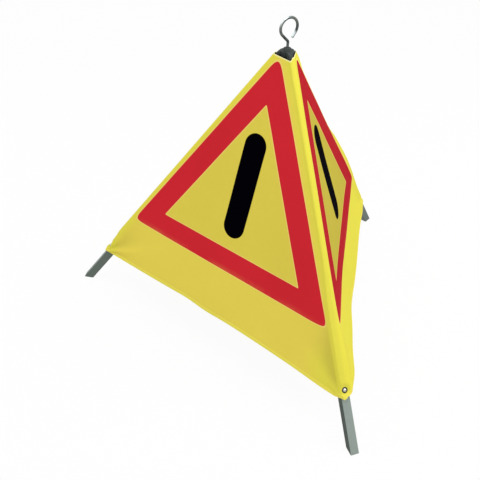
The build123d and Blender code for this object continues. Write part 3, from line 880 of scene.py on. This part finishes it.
class LegCloth:
    """The cloth round one leg, from the middle of the panel before it to the middle of the panel after it."""

    def __init__(self, name):
        turn = AZIMUTHS[name]
        self.name = name
        self.leg = LegSpace(name)
        self.before = PanelCloth(PANEL_BEFORE[name], turn - SIXTH)
        self.after = PanelCloth(PANEL_AFTER[name], turn + SIXTH)

    def side(self, hand):
        """The panel on one hand, which of its ends is at this leg, and where its crease is on the ridge."""
        return (self.after, 0, 1.0) if hand > 0 else (self.before, 1, 0.0)

    def panel_column(self, hand, part):
        """A column of cloth on a panel, from its fold at 0 to its middle at 1."""
        panel, end, _ = self.side(hand)
        top, hem = panel.end_share(-hand * (1 - part))
        drop = steps_down(top, hem)
        half = panel.half(end, drop)
        across = -hand * (half - fold_reach(self.name, hand, drop)) * (1 - part)
        points = self.press(panel.points(across, drop, hem) + self.swell(drop, half - np.abs(across)))
        # Painted shade of this column of cloth
        soil = panel.soil(across, drop, hem)
        return points, panel.flat_places(across, drop), soil, panel.fade(across, drop, hem)

    def press(self, points):
        """The rivet presses the cloth flat on the tube round it."""
        cover = cover_sizes()
        offset = points - self.leg.apex
        lift = np.maximum(offset @ self.leg.face, 0.0)
        run = np.hypot(offset @ self.leg.down - cover.rivet_reach, offset @ self.leg.side)
        pressed = lift * np.exp(-((run / RIVET_DIMPLES[self.name]) ** DIMPLE_POWER))
        return points - pressed[:, None] * self.leg.face

    def swell(self, drop, beside):
        """The slack ridge of the rear leg stands further out."""
        cover = cover_sizes()
        high = cover.swell if self.name == "rear" else 0.0
        size = high * hump(cover.swell_drop, cover.swell_run, drop) * hump(0.0, SWELL_SPREAD, beside)
        return size[..., None] * self.leg.face

    def ridge_cut(self, share):
        """Top edge and hem over the leg, from 0 at the panel before it to 1 at the panel after it."""
        top_before, hem_before = self.before.end_share(1.0)
        top_after, hem_after = self.after.end_share(-1.0)
        tip = cover_sizes().tip * (1 - abs(2 * share - 1))
        top = top_before + (top_after - top_before) * share
        return top, hem_before + (hem_after - hem_before) * share + tip

    def ridge_points(self, drop, hem, share):
        """Points straight across from one crease to the other, pressed down round the rivet."""
        first = self.before.points(self.before.half(1, drop), drop, hem)
        last = self.after.points(-self.after.half(0, drop), drop, hem)
        return self.press(first + (last - first) * share[:, None] + self.swell(drop, 0 * drop))

    def ridge_column(self, hand, part):
        """A column on the ridge, from its middle at 0 to the start of a fold at 1."""
        panel, end, crease = self.side(hand)
        top, hem = self.ridge_cut(0.5 + (crease - 0.5) * part)
        drop = steps_down(top, hem)
        width = 2 * ridge_half(self.name, drop)
        share = 0.5 + part * (crease - hand * fold_reach(self.name, hand, drop) / width - 0.5)
        across = -hand * (panel.half(end, drop) + np.abs(crease - share) * width)
        # Painted shade on the sewn side of the ridge, low on the leg
        soil = SEAM_SHADE * (1 - share) * smooth(*SEAM_SHADE_START, drop)
        return self.ridge_points(drop, hem, share), panel.flat_places(across, drop), soil, 0 * drop

    def fold_column(self, hand, part):
        """A column on the rounded fold beside a ridge, from the ridge at 0 to the panel at 1."""
        panel, end, crease = self.side(hand)
        top, hem = self.ridge_cut(crease)
        drop = steps_down(top, hem)
        half = panel.half(end, drop)
        reach = fold_reach(self.name, hand, drop)
        on_ridge = self.ridge_points(drop, hem, crease - hand * reach / (2 * ridge_half(self.name, drop)))
        corner = self.ridge_points(drop, hem, np.full_like(drop, crease))
        on_panel = self.press(panel.points(-hand * (half - reach), drop, hem) + self.swell(drop, reach))
        points = (1 - part) ** 2 * on_ridge + 2 * part * (1 - part) * corner + part**2 * on_panel
        return points, panel.flat_places(-hand * (half + reach * (1 - 2 * part)), drop), 0 * drop, 0 * drop

    def hand_columns(self, hand):
        """Columns of one hand, from beside the middle of the ridge to the middle of the panel."""
        columns = cover_sizes().columns
        found = [self.ridge_column(hand, 0.5)]
        found += [self.fold_column(hand, step / FOLD_STEPS) for step in range(FOLD_STEPS + 1)]
        parts = [(step / columns) ** COLUMN_CROWDING for step in range(1, columns + 1)]
        return found + [self.panel_column(hand, part) for part in parts]

    def grid(self):
        """Points, places on the panels, marks, and the ridge's middle as a place on the panel after it."""
        columns = self.hand_columns(-1)[::-1] + [self.ridge_column(-1, 0.0)] + self.hand_columns(1)
        points, flat, soil, fade = [np.stack(parts, axis=1) for parts in zip(*columns)]
        marks = {**self.edge_marks(soil.shape), "soil": soil, "fade": fade}
        return points, flat, marks, self.ridge_column(1, 0.0)[1]

    def edge_marks(self, shape):
        """Marks of the pale cut edge, the double cloth of the hem, and the factor that darkens the print of
        the right and back panels as painted shade.
        """
        rim = np.zeros(shape)
        rim[:len(RIM_ROWS)] = np.array(RIM_ROWS)[:, None]
        hem = np.zeros(shape)
        hem[-DOUBLE_ROWS:] = 1.0
        ink = np.full(shape, self.before.cut["ink"])
        ink[:, shape[1] // 2:] = self.after.cut["ink"]
        return {"rim": rim, "hem": hem, "ink": ink}


def mesh_object(name, points, faces, edges=()):
    """A mesh at the origin."""
    mesh = bpy.data.meshes.new(name)
    mesh.from_pydata([tuple(p) for p in points], list(edges), [tuple(f) for f in faces])
    made = bpy.data.objects.new(name, mesh)
    bpy.context.scene.collection.objects.link(made)
    return made


def quad_corners(grid):
    """What a grid holds at the four corners of each of its quads, in the order of their corners."""
    return np.stack((grid[:-1, :-1], grid[1:, :-1], grid[1:, 1:], grid[:-1, 1:]), axis=2)


def grid_faces(rows, columns):
    """Quads of a grid whose rows run down and whose columns run against the clock, facing outwards."""
    return quad_corners(np.arange(rows * columns).reshape(rows, columns)).reshape(-1, 4)


def shade_smooth(made, sharp_angle=None):
    """Smooth shading, with edges above an angle kept sharp."""
    mesh = made.data
    mesh.polygons.foreach_set("use_smooth", [True] * len(mesh.polygons))
    if sharp_angle is not None:
        mesh.set_sharp_from_angle(angle=math.radians(sharp_angle))
    mesh.update()


def thicken(made, thickness):
    """Gives a sheet its thickness, inwards, and makes it part of the mesh."""
    solid = made.modifiers.new("thickness", "SOLIDIFY")
    solid.thickness = thickness
    solid.offset = -1.0
    solid.use_even_offset = True
    solid.use_rim = True
    bake_modifiers(made)


def bake_modifiers(made):
    """Turns the evaluated shape into a plain mesh and removes the modifiers."""
    graph = bpy.context.evaluated_depsgraph_get()
    baked = bpy.data.meshes.new_from_object(made.evaluated_get(graph))
    made.modifiers.clear()
    old = made.data
    made.data = baked
    bpy.data.meshes.remove(old)


def follow_leg(made, name):
    """Bakes the piece's place into its mesh."""
    panel = PanelSpace(AZIMUTHS[name] + SIXTH)
    start = panel.corner
    tuple(start)
    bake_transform(made)


class SIGN_OT_cover(bpy.types.Operator):
    """Make the cloth cover, in three pieces that meet at the middles of the panels"""
    bl_idname = "sign.cover"
    bl_label = "Cover"

    def execute(self, context):
        finish = cloth_finish("coated_cloth")
        thread = thread_finish()
        tree = stitch_tree()
        for name in LEG_NAMES:
            points, flat, marks, ridge_after = LegCloth(name).grid()
            cover = cover_piece(name, points, flat, marks, ridge_after, finish)
            follow_leg(cover, name)
            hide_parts(f"panel_{PANEL_BEFORE[name]}", f"ridge_strip_{name}")
            stitches = stitch_piece(name, points, tree, thread)
            follow_leg(stitches, name)
            declare_sheet(points)
        return {"FINISHED"}


def cover_piece(name, points, flat, marks, ridge_after, finish):
    """The mesh of the cloth round one leg."""
    rows, columns = points.shape[:2]
    cover = mesh_object(f"cover_{name}", points.reshape(-1, 3), grid_faces(rows, columns))
    add_flat_places(cover, flat, ridge_after)
    for key, values in marks.items():
        attribute = cover.data.attributes.new(key, "FLOAT", "POINT")
        attribute.data.foreach_set("value", values.astype(np.float32).ravel())
    cover.data.materials.append(finish)
    thicken(cover, cover_sizes().thickness)
    shade_smooth(cover, SHARP_EDGE)
    return cover


def add_flat_places(cover, flat, ridge_after):
    """Stores the place of each corner on its own panel, in metres, as a UV map."""
    columns = flat.shape[1]
    middle = columns // 2
    after = flat.copy()
    after[:, middle] = ridge_after
    is_before = (np.arange(columns - 1) < middle)[None, :, None, None]
    sides = np.where(is_before, quad_corners(flat), quad_corners(after))
    layer = cover.data.uv_layers.new(name="panel")
    layer.data.foreach_set("uv", sides.astype(np.float32).ravel())


def run_length(line):
    """Length of a line of points."""
    return np.linalg.norm(np.diff(line, axis=0), axis=1).sum()


def declare_sheet(points):
    """Measures the lower edge, the opening and the ridge of the cloth round one leg, and keeps none of them.
    """
    lower = run_length(points[-1])
    upper = run_length(points[0])
    middle = points.shape[1] // 2
    ridge = np.linalg.norm(points[-1, middle] - points[0, middle])


def node_group(name, inputs):
    """A group of geometry nodes with the given inputs and one output."""
    tree = bpy.data.node_groups.new(name, "GeometryNodeTree")
    for key, kind in inputs.items():
        tree.interface.new_socket(name=key, in_out="INPUT", socket_type=f"NodeSocket{kind}")
    tree.interface.new_socket(name="Made", in_out="OUTPUT", socket_type="NodeSocketGeometry")
    return tree


def grow(made, tree, values):
    """Runs a group of geometry nodes on a mesh and keeps the result."""
    modifier = made.modifiers.new(tree.name, "NODES")
    modifier.node_group = tree
    for item in tree.interface.items_tree:
        if item.name in values:
            modifier[item.identifier] = values[item.name]
    bake_modifiers(made)
    shade_smooth(made)


def stitch_tree():
    """A row of stitches along each line of a mesh of edges."""
    build = Nodes(node_group("stitch_row", {"Line": "Geometry", "Pitch": "Float", "Length": "Float",
                                            "Width": "Float", "Material": "Material"}))
    given = build.node("NodeGroupInput", {}, [], out="Line")
    width = given.output("Width")
    line = build.node("GeometryNodeMeshToCurve", {}, {"Mesh": given})
    spaced = build.node("GeometryNodeResampleCurve", {"mode": "LENGTH"},
                        {"Curve": line, "Length": given.output("Pitch")})
    ball = build.node("GeometryNodeMeshUVSphere", {}, {"Segments": 6, "Rings": 4, "Radius": 0.5})
    size = build.node("ShaderNodeCombineXYZ", {}, {"X": given.output("Length"), "Y": width, "Z": width})
    thread = build.node("GeometryNodeTransform", {}, {"Geometry": ball, "Scale": size})
    tangent = build.node("GeometryNodeInputTangent", {}, [])
    turn = build.node("FunctionNodeAlignRotationToVector", {"axis": "X"}, {"Vector": tangent})
    placed = build.node("GeometryNodeInstanceOnPoints", {},
                        {"Points": spaced, "Instance": thread, "Rotation": turn})
    return build.deliver(placed, given.output("Material"))


def stitch_piece(name, points, tree, thread):
    """Stitches along the hem and down the sewn side of the ridge."""
    cover = cover_sizes()
    raised = points + grid_normals(points) * cover.stitch_width * STITCH_RAISE
    seam = points.shape[1] // 2 + STITCH_COLUMN
    lines = [raised[STITCH_ROW], raised[:STITCH_ROW, seam]]
    edges = []
    start = 0
    for line in lines:
        edges += [(start + i, start + i + 1) for i in range(len(line) - 1)]
        start += len(line)
    made = mesh_object(f"stitches_{name}", np.concatenate(lines), [], edges)
    grow(made, tree, {"Pitch": cover.stitch_pitch, "Length": cover.stitch_length, "Width": cover.stitch_width,
                      "Material": thread})
    return made


def grid_normals(points):
    """Outward direction at each point of a grid."""
    down = np.gradient(points, axis=0)
    along = np.gradient(points, axis=1)
    square = np.cross(down, along)
    return square / np.linalg.norm(square, axis=-1, keepdims=True)


class SIGN_OT_legs(bpy.types.Operator):
    """Finish the legs, knuckles and their rivets"""
    bl_idname = "sign.legs"
    bl_label = "Legs"

    def execute(self, context):
        finishes = {
            "leg_tube": tube_finish(),
            "knuckle": cast_finish(),
            "knuckle_rivets": plated_finish("plated_rivet", metal().zinc, rough=0.30),
            "pivot_pin": plated_finish("ground_pin", metal().zinc, rough=0.22),
            "corner_washer": plated_finish("blackened_ring", metal().ring, rough=0.46, metallic=0.2),
            "corner_rivet": plated_finish("bright_rivet", metal().zinc, rough=0.16),
        }
        for node, finish in finishes.items():
            for name in LEG_NAMES:
                wear(f"{node}_{name}", finish)
        return {"FINISHED"}


def wear(node, finish):
    """Gives a piece of the frame a finish."""
    made = frame["nodes"][node]
    made.data.materials.clear()
    made.data.materials.append(finish)


class SIGN_OT_head(bpy.types.Operator):
    """Finish the head, its collar and its spring"""
    bl_idname = "sign.head"
    bl_label = "Head"

    def execute(self, context):
        moulded = plastic_finish()
        zinc = plated_finish("plated_steel", metal().zinc, rough=0.26)
        oiled = plated_finish("oiled_spring", metal().spring, rough=0.28)
        finishes = {"head_block": moulded, "collar": moulded, "hook_ring": oiled, "hook_washer": zinc,
                    "hook_nut": zinc}
        for node, finish in finishes.items():
            wear(node, finish)
        spring_piece(oiled)
        return {"FINISHED"}


def spring_tree():
    """A coil of round wire, wound upwards from its base."""
    build = Nodes(node_group("wound_spring", {"Start": "Geometry", "Turns": "Float", "Radius": "Float",
                                              "Height": "Float", "Wire": "Float", "Base": "Vector",
                                              "Material": "Material"}))
    turns = build.node("NodeGroupInput", {}, [], out="Turns")
    radius = turns.output("Radius")
    coil = build.node("GeometryNodeCurveSpiral", {},
                      {"Resolution": 40, "Rotations": turns, "Start Radius": radius, "End Radius": radius,
                       "Height": turns.output("Height")})
    section = build.node("GeometryNodeCurvePrimitiveCircle", {},
                         {"Resolution": 12, "Radius": turns.output("Wire") / 2})
    wound = build.node("GeometryNodeCurveToMesh", {},
                       {"Curve": coil, "Profile Curve": section, "Fill Caps": True})
    placed = build.node("GeometryNodeTransform", {}, {"Geometry": wound, "Translation": turns.output("Base")})
    return build.deliver(placed, turns.output("Material"))


def spring_piece(finish):
    """The return spring in its place under the head."""
    look = metal()
    low, high = [Vector(corner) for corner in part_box("return_spring")]
    made = mesh_object("wound_spring", [AXIS], [])
    base = Vector((AXIS.x, AXIS.y, low.z + look.spring_wire / 2))
    grow(made, spring_tree(), {"Turns": look.spring_turns, "Radius": (high.x - low.x - look.spring_wire) / 2,
                               "Height": high.z - low.z - look.spring_wire, "Wire": look.spring_wire,
                               "Base": base, "Material": finish})
    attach(made, "head")
    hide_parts("return_spring")
    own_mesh(made)


class SIGN_OT_hook(bpy.types.Operator):
    """Finish the bent wire of the hook"""
    bl_idname = "sign.hook"
    bl_label = "Hook"

    def execute(self, context):
        wear("hook", wire_finish())
        return {"FINISHED"}


class SIGN_OT_stage(bpy.types.Operator):
    """Set up the floor, the lamps and the camera"""
    bl_idname = "sign.stage"
    bl_label = "Stage"

    def execute(self, context):
        make_floor()
        make_sky()
        make_lamps()
        make_camera()
        context.scene.view_settings.view_transform = "Standard"
        return {"FINISHED"}


def make_floor():
    """A wide pale floor that keeps a soft shadow. The white room and folded legs below it show through it."""
    stage = stage_sizes()
    half = stage.floor_half
    corners = [(-half, -half, 0), (half, -half, 0), (half, half, 0), (-half, half, 0)]
    floor = mesh_object("floor", corners, [(0, 1, 2, 3)])
    finish = Finish("pale_floor")
    plain = finish.node("ShaderNodeBsdfDiffuse", {}, {"Color": rgba(stage.floor)})
    clear = finish.node("ShaderNodeBsdfTransparent", {}, {"Color": WHITE})
    shown = finish.node("ShaderNodeMixShader", {}, [finish.seen() * stage.floor_white, plain, clear])
    floor.data.materials.append(finish.end(shown))
    floor.visible_shadow = False


def make_sky():
    """Even room light, seen as white."""
    world = bpy.data.worlds.new("studio")
    bpy.context.scene.world = world
    world.use_nodes = True
    nodes = Nodes(world.node_tree)
    lit = nodes.node("ShaderNodeBackground", {}, {"Color": WHITE, "Strength": stage_sizes().sky})
    plain = nodes.node("ShaderNodeBackground", {}, {"Color": WHITE, "Strength": 1.0})
    shown = nodes.node("ShaderNodeMixShader", {}, [nodes.seen(), lit, plain])
    nodes.node("ShaderNodeOutputWorld", {}, {"Surface": shown})


def make_lamps():
    """A large soft lamp overhead, and weaker ones on the right, in front and on the left."""
    for name, (size, azimuth, elevation) in LAMPS.items():
        lamp(name, getattr(stage_sizes(), name), size, azimuth, elevation)


def lamp(name, watts, size, azimuth, elevation):
    """A square lamp that looks at the middle of the object from the given angles."""
    target = Vector((AXIS.x, AXIS.y, cover_sizes().apex_height / 2))
    rise = math.radians(elevation)
    away = Vector((*(level_direction(math.radians(azimuth)) * math.cos(rise))[:2], math.sin(rise)))
    data = bpy.data.lights.new(name, "AREA")
    data.energy = watts
    data.size = size
    made = bpy.data.objects.new(name, data)
    made.location = target + away * stage_sizes().lamp_distance
    made.rotation_euler = (-away).to_track_quat("-Z", "Y").to_euler()
    bpy.context.scene.collection.objects.link(made)


def make_camera():
    """The camera, placed from the apex by its own directions."""
    stage = stage_sizes()
    turn, rise, roll = stage.camera_azimuth, stage.camera_elevation, stage.camera_roll
    back = Vector((math.sin(turn) * math.cos(rise), -math.cos(turn) * math.cos(rise), math.sin(rise)))
    right = Vector((math.cos(turn), math.sin(turn), 0.0))
    up = back.cross(right)
    right, up = math.cos(roll) * right + math.sin(roll) * up, math.cos(roll) * up - math.sin(roll) * right
    apex = Vector((AXIS.x, AXIS.y, cover_sizes().apex_height))
    place = apex + stage.camera_right * right + stage.camera_up * up + stage.camera_back * back
    data = bpy.data.cameras.new("view")
    data.sensor_width = stage.sensor
    data.lens = stage.focal_pixels / IMAGE_PIXELS * stage.sensor
    camera = bpy.data.objects.new("view", data)
    axes = Matrix((right, up, back)).transposed().to_4x4()
    camera.matrix_world = Matrix.Translation(place) @ axes
    bpy.context.scene.collection.objects.link(camera)
    bpy.context.scene.camera = camera


class SIGN_PT_panel(bpy.types.Panel):
    """Buttons and sizes in the sidebar."""
    bl_label = "Folding warning sign"
    bl_idname = "SIGN_PT_panel"
    bl_space_type = "VIEW_3D"
    bl_region_type = "UI"
    bl_category = "Sign"

    def draw(self, context):
        for step in STEPS:
            self.layout.operator(step.bl_idname)
        for group in SETTINGS:
            box = self.layout.box()
            for key in SETTINGS[group].__annotations__:
                box.prop(getattr(context.scene, group), key)


STEPS = (SIGN_OT_cover, SIGN_OT_legs, SIGN_OT_head, SIGN_OT_hook, SIGN_OT_stage)
SETTINGS = {"sign_cover": SignCoverSizes, "sign_print": SignPrint, "sign_metal": SignMetal,
            "sign_stage": SignStage}


def register():
    for group, kind in SETTINGS.items():
        bpy.utils.register_class(kind)
        setattr(bpy.types.Scene, group, PointerProperty(type=kind))
    for kind in (*STEPS, SIGN_PT_panel):
        bpy.utils.register_class(kind)


def unregister():
    for kind in (SIGN_PT_panel, *reversed(STEPS)):
        bpy.utils.unregister_class(kind)
    for group, kind in SETTINGS.items():
        delattr(bpy.types.Scene, group)
        bpy.utils.unregister_class(kind)


def main():
    register()
    for step in STEPS:
        group, name = step.bl_idname.split(".")
        getattr(getattr(bpy.ops, group), name)()


if __name__ == "__main__":
    main()
